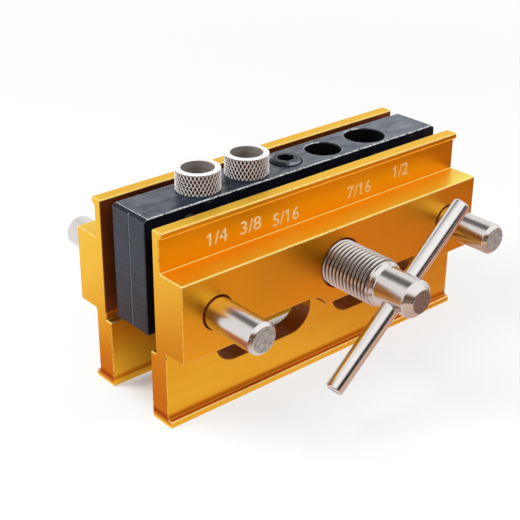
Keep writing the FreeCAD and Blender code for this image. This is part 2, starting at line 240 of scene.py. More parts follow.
goldFinish = {
    "colour": (0.93, 0.485, 0.030),
    "deepColour": (0.89, 0.42, 0.020),
    # lit and shaded copies of the gold, painted by how light falls: darker on the rail's front
    # and the wall over it, lighter on the sawn ends and the lip's top
    "railShadedColour": (0.95, 0.44, 0.020),
    "wallColour": (0.98, 0.43, 0.009),
    "endColour": (0.98, 0.60, 0.05),
    # a painted highlight on the edges
    "edgeHighlightColour": (1.0, 0.93, 0.40),
    # how much of the painted edge highlight the narrow slanting faces along X have
    "slantShine": 0.4,
    # painted shade in the windows, the bores and on the inner faces
    "recessShadeColour": (0.30, 0.045, 0.002),
    "insideShadeColour": (0.22, 0.045, 0.006),
    "nickColour": (0.10, 0.03, 0.008),
    "nickSize": 0.9,
    # values of the noise between which an edge gets nicked
    "nicks": (0.63, 0.67),
    # a painted highlight along the lip's lower edge
    "lineColour": (0.98, 0.40, 0.035),
    # how far the lower edge of the lip is turned up towards the light
    "lineLift": 0.7,
    "roughness": 0.38,
    "unevenness": 0.06,
    "endRoughness": 0.10,
    "lipRoughness": 0.2,
    "streakLength": 60.0,
    "streakWidth": 0.35,
    "broadStreaks": 8.0,  # how many times wider the broad ones are
    "streakDepth": 0.0003,
    "grain": 0.18,
    "grainDepth": 0.0002,
    "cloudSizes": (22.0, 9.0, 9.0),
    "sawSizes": (0.5, 9.0, 0.3),
    "edgeRadius": 0.6,
    # how much less metallic the surface is where it is worn, and where light or shade is
    # painted: on the edges and the slanting corners, in the windows and on the inner faces
    "matt": {"windows": 0.85, "inside": 0.6, "corners": 0.9, "edges": 0.2, "endEdges": 0.45},
    # places along X from which a face is a sawn end, and an edge is an end's edge
    "endPlaces": (57.0, 57.3),
    "endEdgePlaces": (56.9, 57.4),
    # the wall over the rail begins at this height
    "wallStart": 22.6,
    # half of the width at the rail's front, height of the lip's top
    "railFront": 24.75,
    "lipTop": 34.6,
    # a painted highlight: the rail's top grows paler towards its outer edge: height, half widths
    "railTop": (22.5, 15.0, 24.7),
    "railTopHighlightColour": (1.0, 0.90, 0.13),
    # places along X between which that colour comes up, how much of it there is before them
    # and how much is added
    "railTopPlaces": (-60.0, 45.0),
    "railTopShares": (0.4, 0.5),
    # painted shade in the bores and in a dark rim round each: X of the axis, radius where the
    # rim begins and where it ends
    "rims": ((-46.05, 5.15, 5.4), (46.05, 5.15, 5.4), (0.0, 7.65, 7.9)),
    "boreHeight": 10.9,
    # the groove over the foot: heights where its shade begins, is full and ends
    "groove": (-20.7, -21.9, -22.76),
    "grooveColour": (0.62, 0.15, 0.002),
    "grooveShade": 0.85,
    # a painted highlight on the lower edge of the lip: half of the jaws' outer width and the
    # edge's heights
    "lipEdge": (16.0, 32.7, 33.2),
    # painted shade on the inner faces: half of the width up to which they lie, and their lowest
    # and highest places
    "inside": (14.9, -1.2, 34.3),
    # window walls, painted with shade: half widths, places along X and heights between which
    # they lie, and the height over which they go on through the rail. Edges less than margin
    # away don't get the painted highlight.
    "windows": {"aside": (9.9, 16.85), "along": (4.3, 40.9), "heights": (-12.1, 3.1),
                "throughRail": -1.1, "shade": 0.9, "margin": 0.8, "rimShade": 0.9},
}


def windowWalls(along, aside, height, front, places):
    # 1 on the walls of the windows, which go through the rail too but not through its front
    (start, end), (low, high) = places["along"], places["heights"]
    near, far = places["aside"]
    inRail = height.over(places["throughRail"]) * (1 - front)
    walls = aside.over(near) * aside.under(far).most(inRail)
    walls = walls * along.over(start, 0.3) * along.under(end, 0.3)
    return walls * height.over(low) * height.under(high)


def windowRims(along, aside, height, places):
    # 1 round the windows on the plate's front, and on their walls
    (start, end), (low, high) = places["along"], places["heights"]
    margin = places["margin"]
    across = along.ramp(start - margin, start) * along.ramp(end + margin, end)
    onPlate = aside.under(places["aside"][1] + 0.4)
    return across * height.ramp(low - margin, low) * height.under(high) * onPlate


def makeGold(name, settings):
    # Anodised extrusion: fine die lines along X, blasted grain, sawn ends; painted shade in its
    # recesses and on its inner faces, painted highlights on its edges, rail top and lip, and lit
    # or shaded copies of the gold on some faces
    material, shader = newMaterial(name)
    long, thin = settings["streakLength"], settings["streakWidth"]
    lines = shader.noise((long, thin, thin), detail=4.0, roughness=0.6)
    wide = settings["broadStreaks"] * thin
    broad = shader.noise((long, wide, wide))
    grain = shader.noise((settings["grain"],) * 3, detail=3.0, roughness=0.7)
    cloud = shader.noise(settings["cloudSizes"], detail=3.0)
    chips = shader.noise((settings["nickSize"],) * 3)
    sawLines = shader.noise(settings["sawSizes"], detail=3.0)
    along, aside = shader.along("X").size(), shader.along("Y").size()
    height = shader.along("Z")
    front = aside.over(settings["railFront"] - 0.1)
    sawn = shader.squareTo((1, 0, 0)) * along.ramp(*settings["endPlaces"])
    lip = height.over(settings["lipTop"] - 0.1)
    corner = shader.slanting((1, 0, 0), (0, 1, 0))
    rounded = shader.rounded(settings["edgeRadius"], upright=False)
    # edges, which get the painted highlight, the nicks and less metal; edges that face down are
    # left out
    edge = shader.edges(rounded, 0.92, 0.993) * shader.part(rounded, "Z").ramp(-0.35, -0.1)

    tone = (broad * 0.5 + cloud * 0.5).ramp(0.45, 0.8)
    # painted highlight on the rail's top, paler towards its outer edge and along X
    level, near, far = settings["railTop"]
    before, more = settings["railTopShares"]
    railTop = (height - level).size().ramp(0.1, 0.05) * aside.ramp(near, far)
    railTop = railTop * (shader.along("X").ramp(*settings["railTopPlaces"]) * more + before)

    windows = settings["windows"]
    window = windowWalls(along, aside, height, front, windows)
    # no painted highlight on the edges round the windows; the slanting faces along X get part of
    # it
    edge = edge * (1 - windowRims(along, aside, height, windows) * windows["rimShade"])
    bright = edge.most(shader.slanting((0, 1, 0), (0, 0, 1)) * settings["slantShine"])
    nicks = edge.most(corner) * chips.ramp(*settings["nicks"])

    begins, full, ends = settings["groove"]
    groove = height.ramp(begins, full) * height.over(ends, 0.04) * settings["grooveShade"]
    # painted shade: dark window walls, and the bores with a dark rim round each
    recess = window * windows["shade"]
    for across, inner, outer in settings["rims"]:
        recess = recess.most(shader.away(across, settings["boreHeight"]).ramp(outer, inner))
    # painted shade on the inner faces, which look at the block
    width, low, high = settings["inside"]
    inside = aside.under(width, 0.3) * height.over(low, 0.5) * height.under(high, 0.3)
    inside = inside * (1 - sawn)
    # painted highlight on the lip's lower edge, whose normal also turns up to the light
    width, low, high = settings["lipEdge"]
    line = aside.over(width) * height.over(low, 0.05) * height.under(high, 0.05) * (1 - sawn)
    # painted light and shade: lit and shaded copies of the gold on the rail's front, the wall,
    # the sawn ends and the lip's top, then the painted highlights, the nicks and the painted
    # shade
    colour = shader.layered(
        settings, "colour", (tone, "deepColour"), (front, "railShadedColour"),
        (height.over(settings["wallStart"]), "wallColour"), (sawn.most(lip), "endColour"),
        (railTop, "railTopHighlightColour"), (bright, "edgeHighlightColour"), (nicks, "nickColour"),
        (groove, "grooveColour"), (recess, "recessShadeColour"), (inside, "insideShadeColour"),
        (line, "lineColour"))

    roughness = (lines - 0.5 + cloud - 0.5) * settings["unevenness"] + settings["roughness"]
    roughness = roughness + sawn * settings["endRoughness"] + lip * settings["lipRoughness"]
    matt = settings["matt"]
    # less metallic where worn, and where light or shade is painted
    atEnd = along.ramp(*settings["endEdgePlaces"])
    wearAndPaintedLight = edge * (atEnd * matt["endEdges"] + matt["edges"])
    wearAndPaintedLight = wearAndPaintedLight.most(inside * matt["inside"]).most(corner * matt["corners"])
    wearAndPaintedLight = wearAndPaintedLight.most(window * matt["windows"]).most(nicks)
    normal = shader.bump(lines * (1 - sawn) + sawLines * sawn, settings["streakDepth"], rounded)
    normal = shader.bump(grain, settings["grainDepth"], normal)
    normal = shader.turned(line, normal, settings["lineLift"])
    shader.metal(colour=colour, roughness=roughness, metallic=1 - wearAndPaintedLight, normal=normal)
    return material


blackFinish = {
    "colour": (0.003, 0.004, 0.007),
    "paleColour": (0.007, 0.010, 0.020),
    # a painted bluish sheen on the tops
    "paintedSheenColour": (0.017, 0.034, 0.064),
    # a painted reflection, pale and bluish, on the top
    "paintedReflectionColour": (0.045, 0.062, 0.100),
    # places along X between which a pale painted reflection comes up on the top
    "paintedReflection": (5.0, 50.0),
    "millColour": (0.050, 0.060, 0.088),
    # bare metal on worn edges, with painted highlight lines on edges and chamfers
    "wearAndHighlightColour": (0.60, 0.61, 0.64),
    # painted shade inside the holes
    "holeShadeColour": (0.0, 0.0, 0.0),
    "lineColour": (0.17, 0.18, 0.22),
    # half of the width of the line down each end, where it is gone and where it is full
    "lineWidth": (0.21, 0.15),
    # how much shows of the painted reflection, the milled lines and the nicks
    "paintedReflectionShare": 0.7,
    "millShade": 0.7,
    "nickShade": 0.45,
    # how much of its wear and painted highlight an edge has on the sides, and how much it loses
    # in the painted dark band on the upright end edges
    "sideWearAndHighlight": 0.15,
    "uprightWearAndHighlight": 0.7,
    "wearAndHighlightMetal": 0.4,
    "ior": 1.3,
    "roughness": 0.30,
    "coatRoughness": 0.22,
    # how much the grinding and the patches change the roughness, and the holes add to it
    "unevenness": (0.12, 0.25),
    "holeRoughness": 0.5,
    "grindLength": 30.0,
    "grindWidth": 0.25,
    "grindDepth": 0.004,
    # lengths of the grains of each pattern
    "crossSizes": (8.0, 8.0, 0.5),
    "patchSizes": (9.0, 3.5, 7.0),
    "fleckSizes": (1.1, 0.35, 0.8),
    "scratchSizes": (9.0, 0.12, 0.5),
    "scratchShift": (3.1, 0.7, 0.2),
    "millSizes": (30.0, 30.0, 0.4),
    "edgeRadius": 0.45,
    # a band along the upright edges at both ends, as wide as a rounding of this radius, gets
    # painted shade
    "uprightRadius": 1.4,
    "uprightFrom": 55.0,
    # places along X between which the top's rim by the end chamfer gets a painted highlight
    "endRim": (55.7, 55.8),
    "sheen": 1.0,
    # the part of the block that counts as its outside: half of its length and width, in mm; the
    # rest, the holes' walls, gets painted shade
    "outside": (56.6, 7.2),
}


def makeBlackOxide(name, settings):
    # Blackened ground steel: an uneven oiled sheen, with a painted bluish sheen on the tops and
    # a pale painted reflection growing along X; grinding lines; bare metal and painted
    # highlights on edges; a painted dark band on the upright end edges; a fine line down the
    # middle of each end; painted shade inside the holes, which are dull and black
    material, shader = newMaterial(name)
    long, thin = settings["grindLength"], settings["grindWidth"]
    grind = shader.noise((long, thin, long), detail=4.0, roughness=0.6)
    cross = shader.noise(settings["crossSizes"], detail=3.0)
    patches = shader.noise(settings["patchSizes"], detail=5.0, roughness=0.65)
    flecks = shader.noise(settings["fleckSizes"], detail=3.0, roughness=0.6)
    scratch = shader.noise(settings["scratchSizes"], detail=1.0, shift=settings["scratchShift"])
    along, aside = shader.along("X").size(), shader.along("Y").size()
    rounded = shader.rounded(settings["edgeRadius"])
    edge = shader.edges(rounded, 0.94, 0.995)
    # painted shade: a dark band along the upright edges at the ends, as wide as this larger
    # rounding, which only marks it
    wide = shader.rounded(settings["uprightRadius"])
    start = settings["uprightFrom"]
    upright = shader.part(wide, "Z").size().ramp(0.25, 0.1) * along.over(start, 0.5)
    upright = upright * shader.edges(wide, 0.96, 0.997)
    end = shader.squareTo((1, 0, 0))
    flat = shader.facing((0, 0, 1)).ramp(0.8, 0.9)
    half, deep = settings["outside"]
    atEnd = along.over(half - 0.1)
    outside = atEnd.most(aside.over(deep - 0.1))
    outside = outside.most(shader.facing((0, 0, 1)).ramp(0.4, 0.6))
    nicks = scratch.ramp(0.70, 0.76) * patches.ramp(0.45, 0.6) * settings["nickShade"]
    # painted highlight on the slanting faces and on the top's rim by the end chamfers
    bright = shader.slanting((0, 1, 0), (0, 0, 1)).most(flat * along.ramp(*settings["endRim"]))
    # edge wear and painted highlights together, fuller on the tops than on the sides, less in
    # the dark upright band
    side = settings["sideWearAndHighlight"]
    rim = edge.most(bright) * flecks.ramp(0.36, 0.52) * (flat.most(bright) * (1 - side) + side)
    wearAndPaintedLight = (rim + nicks).clamped() * outside * (1 - upright * settings["uprightWearAndHighlight"])
    milled = end * shader.noise(settings["millSizes"]).ramp(0.30, 0.75)
    line = atEnd * aside.ramp(*settings["lineWidth"])
    # painted reflection: the top grows paler along X
    paintedReflection = flat * shader.along("X").ramp(*settings["paintedReflection"]) * settings["paintedReflectionShare"]
    # painted sheen on the tops, painted reflection, painted shade in the upright band and the
    # holes, and wear with painted highlights
    colour = shader.layered(
        settings, "colour", (patches.ramp(0.25, 0.75), "paleColour"),
        (flat * patches.ramp(0.15, 0.75), "paintedSheenColour"), (paintedReflection, "paintedReflectionColour"),
        (milled * settings["millShade"], "millColour"), (upright, "colour"),
        (line, "lineColour"), (wearAndPaintedLight, "wearAndHighlightColour"), (1 - outside, "holeShadeColour"))
    height = grind * (1 - end * 0.4) + cross * end * 0.4
    byGrinding, byPatches = settings["unevenness"]
    roughness = (grind - 0.5) * byGrinding + (patches - 0.5) * byPatches + settings["roughness"]
    roughness = roughness + (1 - outside) * settings["holeRoughness"]
    coat = patches.ramp(0.38, 0.68) * flat * settings["sheen"]
    normal = shader.bump(height, settings["grindDepth"], rounded)
    shader.metal(colour=colour, roughness=roughness, metallic=wearAndPaintedLight * settings["wearAndHighlightMetal"],
                 normal=normal, ior=settings["ior"], coat=coat,
                 coatRoughness=settings["coatRoughness"])
    return material


steelFinish = {
    "colour": (0.72, 0.69, 0.67),
    "dullColour": (0.58, 0.53, 0.50),
    "dullShade": 0.35,
    "endColour": (0.15, 0.15, 0.14),
    "endPaleColour": (0.62, 0.62, 0.59),
    # painted shade deep in a thread or knurl
    "deepColour": (0.12, 0.09, 0.07),
    "roughness": 0.20,
    "endRoughness": 0.20,
    "unevenness": 0.10,
    "deepRoughness": 0.12,
    "ringSizes": (2.5, 2.5, 0.12),
    "ringDepth": 0.0015,
    "spotSize": 0.8,
    "cloudSize": 9.0,
    # turning marks on the end faces: their number per mm times 2 pi, and how spots bend them
    "marks": 14.0,
    "markBend": 2.0,
    "endMatt": 0.6,  # how much less metallic than the rest
    "boreMatt": 0.75,
    # depths, as shares, between which painted shade turns the surface dark
    "dark": (0.0, 1.0),
    # how much of the ridges is plain and pale, a painted highlight, and how far they face up to
    # the light
    "ridge": 0.0,
    "ridgeLift": 1.0,
    "ridgeHighlightColour": (1.0, 0.97, 0.94),
    "bore": 0.0,
    "boreColour": (0.42, 0.40, 0.38),
    "boreShade": 0.7,
    "boreSizes": (40.0, 40.0, 0.5),
}


def makeSteel(name, centre, axis, settings):
    # Polished round steel: faint rings round it, turned end faces, painted shade where it lies
    # deep, and a painted highlight on its ridges where the settings give one
    material, shader = newMaterial(name, centre, axis)
    across, up = shader.along("X"), shader.along("Y")
    radius = (across * across + up * up).math("SQRT")
    end = shader.facing(axis).ramp(0.92, 0.99)
    rings = shader.noise(settings["ringSizes"], detail=3.0)
    spots = shader.noise((settings["spotSize"],) * 3, detail=4.0, roughness=0.8)
    cloud = shader.noise((settings["cloudSize"],) * 3, detail=3.0)
    turning = radius * settings["marks"] + spots * settings["markBend"]
    turning = turning.math("SINE") * 0.5 + 0.5
    # painted shade where the surface lies deep
    depth = shader.depth().ramp(*settings["dark"])
    facing = spots.ramp(0.35, 0.65) * 0.75 + turning * 0.25
    face = shader.layered(settings, "endColour", (facing, "endPaleColour"))
    dulled = cloud.ramp(0.35, 0.75) * settings["dullShade"]
    colour = shader.mixed(end, shader.layered(settings, "colour", (dulled, "dullColour")), face)
    colour = shader.mixed(depth, colour, settings["deepColour"])
    roughness = (rings - 0.5) * settings["unevenness"] + end * settings["endRoughness"]
    roughness = roughness + depth * settings["deepRoughness"] + settings["roughness"]
    dull = end * settings["endMatt"]
    inside = radius.ramp(settings["bore"] + 0.12, settings["bore"] + 0.04)
    normal = shader.bump(rings * (1 - end) + turning * end, settings["ringDepth"])
    # a painted highlight on the ridges, which also face up towards the light
    if settings["ridge"]:
        ridge = (1 - depth) * (1 - end) * (1 - inside) * settings["ridge"]
        ridge = ridge * shader.along("Z").over(0.1)
        colour = shader.mixed(ridge, colour, settings["ridgeHighlightColour"])
        dull = dull.most(ridge)
        normal = shader.turned(ridge, normal, settings["ridgeLift"])
    if settings["bore"]:
        # Inside a bore the turning marks are left as they were
        turned = shader.noise(settings["boreSizes"]).ramp(0.35, 0.65)
        colour = shader.mixed(inside, colour, settings["boreColour"])
        turned = inside * turned * settings["boreShade"]
        colour = shader.mixed(turned, colour, settings["deepColour"])
        dull = dull.most(inside * settings["boreMatt"])
    shader.metal(colour=colour, roughness=roughness, metallic=1 - dull, normal=normal)
    return material


gold = makeGold("anodisedGold", goldFinish)
black = makeBlackOxide("blackOxide", blackFinish)
for nodeName in ("front_jaw", "rear_jaw"):
    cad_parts[nodeName].material_slots[0].material = gold
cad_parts["guide_block"].material_slots[0].material = black
screwFinish = dict(blackFinish, paintedSheenColour=(0.004, 0.005, 0.007), roughness=0.42, sheen=0.15,
                   edgeRadius=0.5, wearAndHighlightColour=(0.24, 0.25, 0.28))
screwBlack = makeBlackOxide("screwBlack", screwFinish)
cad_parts["spindle_set_screw"].material_slots[0].material = screwBlack
print("jaws and block finished")


# points nearer to each other than this, in metres, are one, and edges shorter than that go
samePlace = 2e-7
noLength = 1e-8


def closeSeams(mesh):
    # Joins the points that fall on one place and turns every face outwards
    shape = bmesh.new()
    shape.from_mesh(mesh)
    bmesh.ops.remove_doubles(shape, verts=shape.verts, dist=samePlace)
    bmesh.ops.dissolve_degenerate(shape, edges=shape.edges, dist=noLength)
    bmesh.ops.recalc_face_normals(shape, faces=shape.faces)
    shape.to_mesh(mesh)
    shape.free()


def makeSheet(name, points, depth=None, rising=None):
    # A mesh from a grid of points in mm: every four neighbours make a face. Where rising is
    # given, it picks the diagonal that splits each face in two.
    rows, columns = points.shape[:2]
    index = np.arange(rows * columns).reshape(rows, columns)
    a, b = index[:-1, :-1].ravel(), index[:-1, 1:].ravel()
    c, d = index[1:, 1:].ravel(), index[1:, :-1].ravel()
    faces = np.stack([a, b, c, d], axis=1)
    if rising is not None:
        one = np.stack([a, b, c, a, c, d], axis=1)
        two = np.stack([a, b, d, b, c, d], axis=1)
        faces = np.where(rising.reshape(-1, 1), one, two).reshape(-1, 3)
    mesh = bpy.data.meshes.new(name)
    mesh.from_pydata(points.reshape(-1, 3) * mm, [], faces)
    layer = mesh.attributes.new("depth", "FLOAT", "POINT")
    values = np.zeros(rows * columns) if depth is None else depth.ravel()
    layer.data.foreach_set("value", values.astype(np.float32))
    closeSeams(mesh)
    return mesh


def addObject(name, data):
    added = bpy.data.objects.new(name, data)
    bpy.context.scene.collection.objects.link(added)
    return added


def takeMesh(source):
    # The final mesh of an object, with its modifiers or its outline's filling applied
    graph = bpy.context.evaluated_depsgraph_get()
    return bpy.data.meshes.new_from_object(source.evaluated_get(graph))


def smoothFaces(mesh, sharp=35.0):
    mesh.shade_smooth()
    mesh.set_sharp_from_angle(angle=math.radians(sharp))


def addPiece(name, mesh, material, body, sharp=35.0):
    mesh.materials.clear()
    mesh.materials.append(material)
    smoothFaces(mesh, sharp)
    piece = addObject(name, mesh)
    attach(piece, body)
    return piece


cornerSteps = 4


def roundedProfile(corners):
    # A line of (radius, height) points from corners (radius, height, rounding). A rounded
    # corner is a curve from one side of it to the other:
    # (1 - t)^2 * start + 2 t (1 - t) * corner + t^2 * end, t from 0 to 1.
    corners = np.array(corners, dtype=float)
    line = [corners[:1, :2]]
    for before, corner, after in zip(corners[:-2], corners[1:-1], corners[2:]):
        back = before[:2] - corner[:2]
        ahead = after[:2] - corner[:2]
        start = corner[:2] + back / np.linalg.norm(back) * corner[2]
        end = corner[:2] + ahead / np.linalg.norm(ahead) * corner[2]
        t = np.linspace(0, 1, cornerSteps + 1)[:, None] if corner[2] else np.array([[0.5]])
        line.append((1 - t) ** 2 * start + 2 * t * (1 - t) * corner[:2] + t ** 2 * end)
    line.append(corners[-1:, :2])
    return np.concatenate(line)


def carry(radius, turn, height, centre, axis):
    # Points round an axis: centre + height * axis + radius * (cos turn * side + sin turn *
    # other), where side, other and axis are square to each other, in that order
    other = Vector(axis).cross(Vector((0, 0, 1)) if axis[1] else Vector((0, 1, 0))).normalized()
    side = other.cross(Vector(axis))
    cosine = np.cos(turn)[..., None] * np.array(side)
    sine = np.sin(turn)[..., None] * np.array(other)
    return np.array(centre) + height[..., None] * np.array(axis) + radius[..., None] * (
        cosine + sine)


def turnGrid(columns):
    # Turns once round; the last is the first again, so that the seam closes
    turn = np.arange(columns + 1) * fullTurn / columns
    turn[-1] = 0.0
    return turn


def carryProfile(corners, centre, axis, columns=128):
    # A turned shape: a rounded profile carried once round an axis
    profile = roundedProfile(corners)
    radius, turn = np.meshgrid(profile[:, 0], turnGrid(columns), indexing="ij")
    height = np.broadcast_to(profile[:, 1:], radius.shape)
    return carry(radius, turn, height, centre, axis)


def barCorners(settings):
    # A round bar, chamfered at both ends
    radius, half, cut = settings["radius"], settings["half"], settings["chamfer"]
    onEnd, onSide = settings["roundings"]
    return ((0, -half, 0), (radius - cut, -half, onEnd), (radius, -half + cut, onSide),
            (radius, half - cut, onSide), (radius - cut, half, onEnd), (0, half, 0))


guideRod = {
    "offset": 46.05,
    "up": 10.9,
    "radius": 4.7625,
    "half": 43.7,
    "chamfer": 1.0,
    "roundings": (0.25, 0.3),
}


def makeGuideRod(name, side, settings):
    centre = (settings["offset"] * side, 0, settings["up"])
    mesh = makeSheet(name, carryProfile(barCorners(settings), centre, (0, 1, 0)))
    material = makeSteel(name + "Steel", centre, (0, 1, 0), steelFinish)
    return addPiece(name, mesh, material, "block")


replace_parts(makeGuideRod("guideRodLeft", -1, guideRod), "guide_rod_left")
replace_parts(makeGuideRod("guideRodRight", 1, guideRod), "guide_rod_right")
print("guide rods made")


tommyBar = {
    "angle": 41.2,
    "along": -1.2,
    "back": -48.3,
    "radius": 2.6,
    "half": 32.0,
    "chamfer": 0.5,
    "roundings": (0.15, 0.2),
    "columns": 96,
}

spindle = {
    "up": 10.9,
    "radius": 7.144,
    "pitch": 1.411,
    "threadDepth": 0.85,
    "threadEnd": 41.6,
    "tail": 42.0,
    # how far the crests are cut down at both ends of a thread
    "endCut": 0.5,
    "grooveHalf": 3.25,
    "grooveRadius": 5.1,
    "headRadius": 5.7,
    "headEnd": 56.0,
    "headChamfer": 2.2,
    "holeSlack": 0.05,
    "holeMouth": 0.55,
    # half of the length of what cuts the bar's hole
    "cutterHalf": 9.0,
    "columns": 144,
    # the thread's section over one pitch: place along it and depth there, as shares
    "section": ((0.0, 0.0), (0.06, 0.02), (0.10, 0.10), (0.26, 0.53), (0.40, 0.91),
                (0.45, 0.98), (0.50, 1.0), (0.55, 0.98), (0.60, 0.91), (0.74, 0.53),
                (0.90, 0.10), (0.94, 0.02)),
}


def threadRows(start, end, hand, settings):
    # Height, radius and depth of a thread. A row follows the helix, which climbs one pitch a
    # turn: height = start + (row + hand * turn) * pitch, kept between start and end; the depth
    # is that of the thread's section there. The crests fade where the bar is chamfered.
    pitch, radius = settings["pitch"], settings["radius"]
    places, depths = np.array(settings["section"]).T
    turn = np.linspace(0, 1, settings["columns"] + 1)[None, :]
    count = int(math.ceil((end - start) / pitch)) + 2
    rows = (np.arange(-1, count)[:, None] + places[None, :]).reshape(-1, 1)
    height = np.clip(start + (rows + hand * turn) * pitch, start, end)
    phase = ((height - start) / pitch - hand * turn) % 1.0
    deep = np.interp(phase, np.append(places, 1.0), np.append(depths, 0.0))
    toEnds = np.minimum(height - start, end - height)
    crest = radius - np.clip(settings["endCut"] - toEnds, 0, None)
    cut = radius - settings["threadDepth"] * deep
    return height, np.minimum(cut, crest), deep * (cut <= crest)


def plainRows(corners, settings):
    profile = roundedProfile(corners)
    shape = (len(profile), settings["columns"] + 1)
    height = np.broadcast_to(profile[:, 1:], shape)
    return height, np.broadcast_to(profile[:, :1], shape), np.zeros(shape)


def makeSpindle(name, settings):
    radius, end, half = settings["radius"], settings["threadEnd"], settings["grooveHalf"]
    head, headEnd, cut = settings["headRadius"], settings["headEnd"], settings["headChamfer"]
    groove, tail, endCut = settings["grooveRadius"], settings["tail"], settings["endCut"]
    root, shoulder = radius - endCut, radius - head
    parts = [
        plainRows(((0, -headEnd, 0), (head - cut, -headEnd, 0.35), (head, -headEnd + cut, 0.5),
                   (head, -end - shoulder, 0.4), (root, -end - endCut, 0.1),
                   (root, -end, 0)), settings),
        threadRows(-end, -half, -1, settings),
        plainRows(((groove, -half, 0), (groove, half, 0)), settings),
        threadRows(half, tail, 1, settings),
        plainRows(((root, tail, 0), (0, tail, 0)), settings),
    ]
    height, away, depth = (np.concatenate(layer) for layer in zip(*parts))
    turn = np.broadcast_to(turnGrid(settings["columns"]), height.shape)
    centre = (0, 0, settings["up"])
    mesh = makeSheet(name, carry(away, turn, height, centre, (0, 1, 0)), depth)
    # painted shade deep in the thread; the end faces take a warm brown, a painted reflection
    finish = dict(steelFinish, deepColour=(0.045, 0.028, 0.018), dark=(0.25, 0.8),
                  endColour=(0.10, 0.05, 0.04), endPaleColour=(0.30, 0.20, 0.17))
    material = makeSteel("spindleSteel", centre, (0, 1, 0), finish)
    return addPiece(name, mesh, material, "spindle")


def barAxis():
    lean = math.radians(tommyBar["angle"])
    return (math.cos(lean), 0, math.sin(lean))


def cutBarHole(piece, settings):
    # The hole is a turned cutter that widens at both mouths, taken out of the head
    hole, half = tommyBar["radius"] + settings["holeSlack"], settings["cutterHalf"]
    mouth = settings["headRadius"] - settings["holeMouth"]
    wide = hole + half - mouth
    corners = ((0, -half, 0), (wide, -half, 0), (hole, -mouth, 0.2),
               (hole, mouth, 0.2), (wide, half, 0), (0, half, 0))
    centre = (0, tommyBar["back"], settings["up"])
    points = carryProfile(corners, centre, barAxis(), tommyBar["columns"])
    cutter = addObject("holeCutter", makeSheet("holeCutter", points))
    modifier = piece.modifiers.new("hole", "BOOLEAN")
    modifier.operation = "DIFFERENCE"
    modifier.solver = "EXACT"
    modifier.object = cutter
    mesh = takeMesh(piece)
    piece.modifiers.clear()
    piece.data = mesh
    bpy.data.objects.remove(cutter)
    smoothFaces(mesh)


clampSpindle = makeSpindle("clampSpindle", spindle)
cutBarHole(clampSpindle, spindle)
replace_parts(clampSpindle, "clamp_spindle")
print("spindle made")


def makeTommyBar(name, settings):
    axis, along = barAxis(), settings["along"]
    centre = (along * axis[0], settings["back"], spindle["up"] + along * axis[2])
    points = carryProfile(barCorners(settings), centre, axis, settings["columns"])
    mesh = makeSheet(name, points)
    finish = dict(steelFinish, roughness=0.15, colour=(0.76, 0.74, 0.73))
    material = makeSteel("tommyBarSteel", centre, axis, finish)
    return addPiece(name, mesh, material, "spindle")


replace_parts(makeTommyBar("tommyBar", tommyBar), "tommy_bar")
print("tommy bar made")


bushing = {
    "bore": 4.7625,
    "shank": 5.55625,
    "shankLength": 22.0,
    "shankChamfer": 0.4,
    # the bore's chamfers below and above
    "mouths": (0.3, 0.2),
    "head": 6.525,
    "headHeight": 6.7,
    # the head's chamfers below and above
    "headChamfers": (0.12, 0.18),
    "headRecess": 0.5,
    # plain bands that the knurl leaves below and above
    "plainBands": (0.35, 0.25),
    "seat": 35.2,
    "ridges": 36,
    "diamond": 2.097,
    "steps": 10,
    "knurlDepth": 0.26,
    # how deep the surface lies at each step away from a ridge, as a share of the depth
    "section": (0.0, 0.4, 0.95, 1.0, 1.0, 1.0),
}


def makeBushing(name, across, body, settings):
    # The head's side has two families of ridges that climb opposite ways round it. A corner
    # of the grid lies (row + column) and (row - column) steps along them, counted from ridge
    # to ridge, and the surface takes the higher of the two.
    steps, head, top = settings["steps"], settings["head"], settings["headHeight"]
    bore, shank, down = settings["bore"], settings["shank"], settings["shankLength"]
    cut, (mouth, rim) = settings["shankChamfer"], settings["mouths"]
    under, over = settings["headChamfers"]
    low, high = settings["plainBands"]
    columns = settings["ridges"] * steps
    rowHeight = settings["diamond"] / steps
    rows = int((top - high - low) / rowHeight)
    sides = low + np.arange(rows + 1) * rowHeight
    lower = roundedProfile(((bore + mouth, -down, 0), (shank - cut, -down, 0.1),
                            (shank, -down + cut, 0.1), (shank, 0, 0),
                            (head - settings["headRecess"], 0, 0.05),
                            (head - under, low - 0.08, 0)))
    upper = roundedProfile(((head, sides[-1] + 0.04, 0), (head - over, top, 0.08),
                            (bore + rim, top, 0.08), (bore, top - rim, 0.08),
                            (bore, -down + mouth, 0.1), (bore + mouth, -down, 0)))
    side = np.stack([np.full(rows + 1, head), sides], axis=1)
    profile = np.concatenate([lower, side, upper])
    knurled = slice(len(lower), len(lower) + rows + 1)

    def toRidge(count):
        return abs((count + steps // 2) % steps - steps // 2)

    row = np.arange(rows + 1)[:, None]
    column = np.arange(columns + 1)[None, :]
    section = np.array(settings["section"])
    depth = np.zeros((len(profile), columns + 1))
    depth[knurled] = np.minimum(section[toRidge(row + column)], section[toRidge(row - column)])
    rising = np.zeros((len(profile) - 1, columns), dtype=bool)
    rising[knurled] = (toRidge(row - column) < toRidge(row + column + 1))[:, :-1]

    radius = profile[:, :1] - settings["knurlDepth"] * depth
    height = np.broadcast_to(profile[:, 1:], radius.shape)
    turn = np.broadcast_to(turnGrid(columns), radius.shape)
    centre = (across, 0, settings["seat"])
    mesh = makeSheet(name, carry(radius, turn, height, centre, (0, 0, 1)), depth, rising)
    # painted shade in the knurl's hollows and a painted highlight on its ridges
    finish = dict(steelFinish, endRoughness=0.1, endColour=(0.72, 0.71, 0.71),
                  endPaleColour=(0.90, 0.89, 0.88), deepColour=(0.15, 0.08, 0.05),
                  dark=(0.1, 0.6), ridge=0.9, bore=bore)
    material = makeSteel(name + "Steel", centre, (0, 0, 1), finish)
    return addPiece(name, mesh, material, body, 40.0)


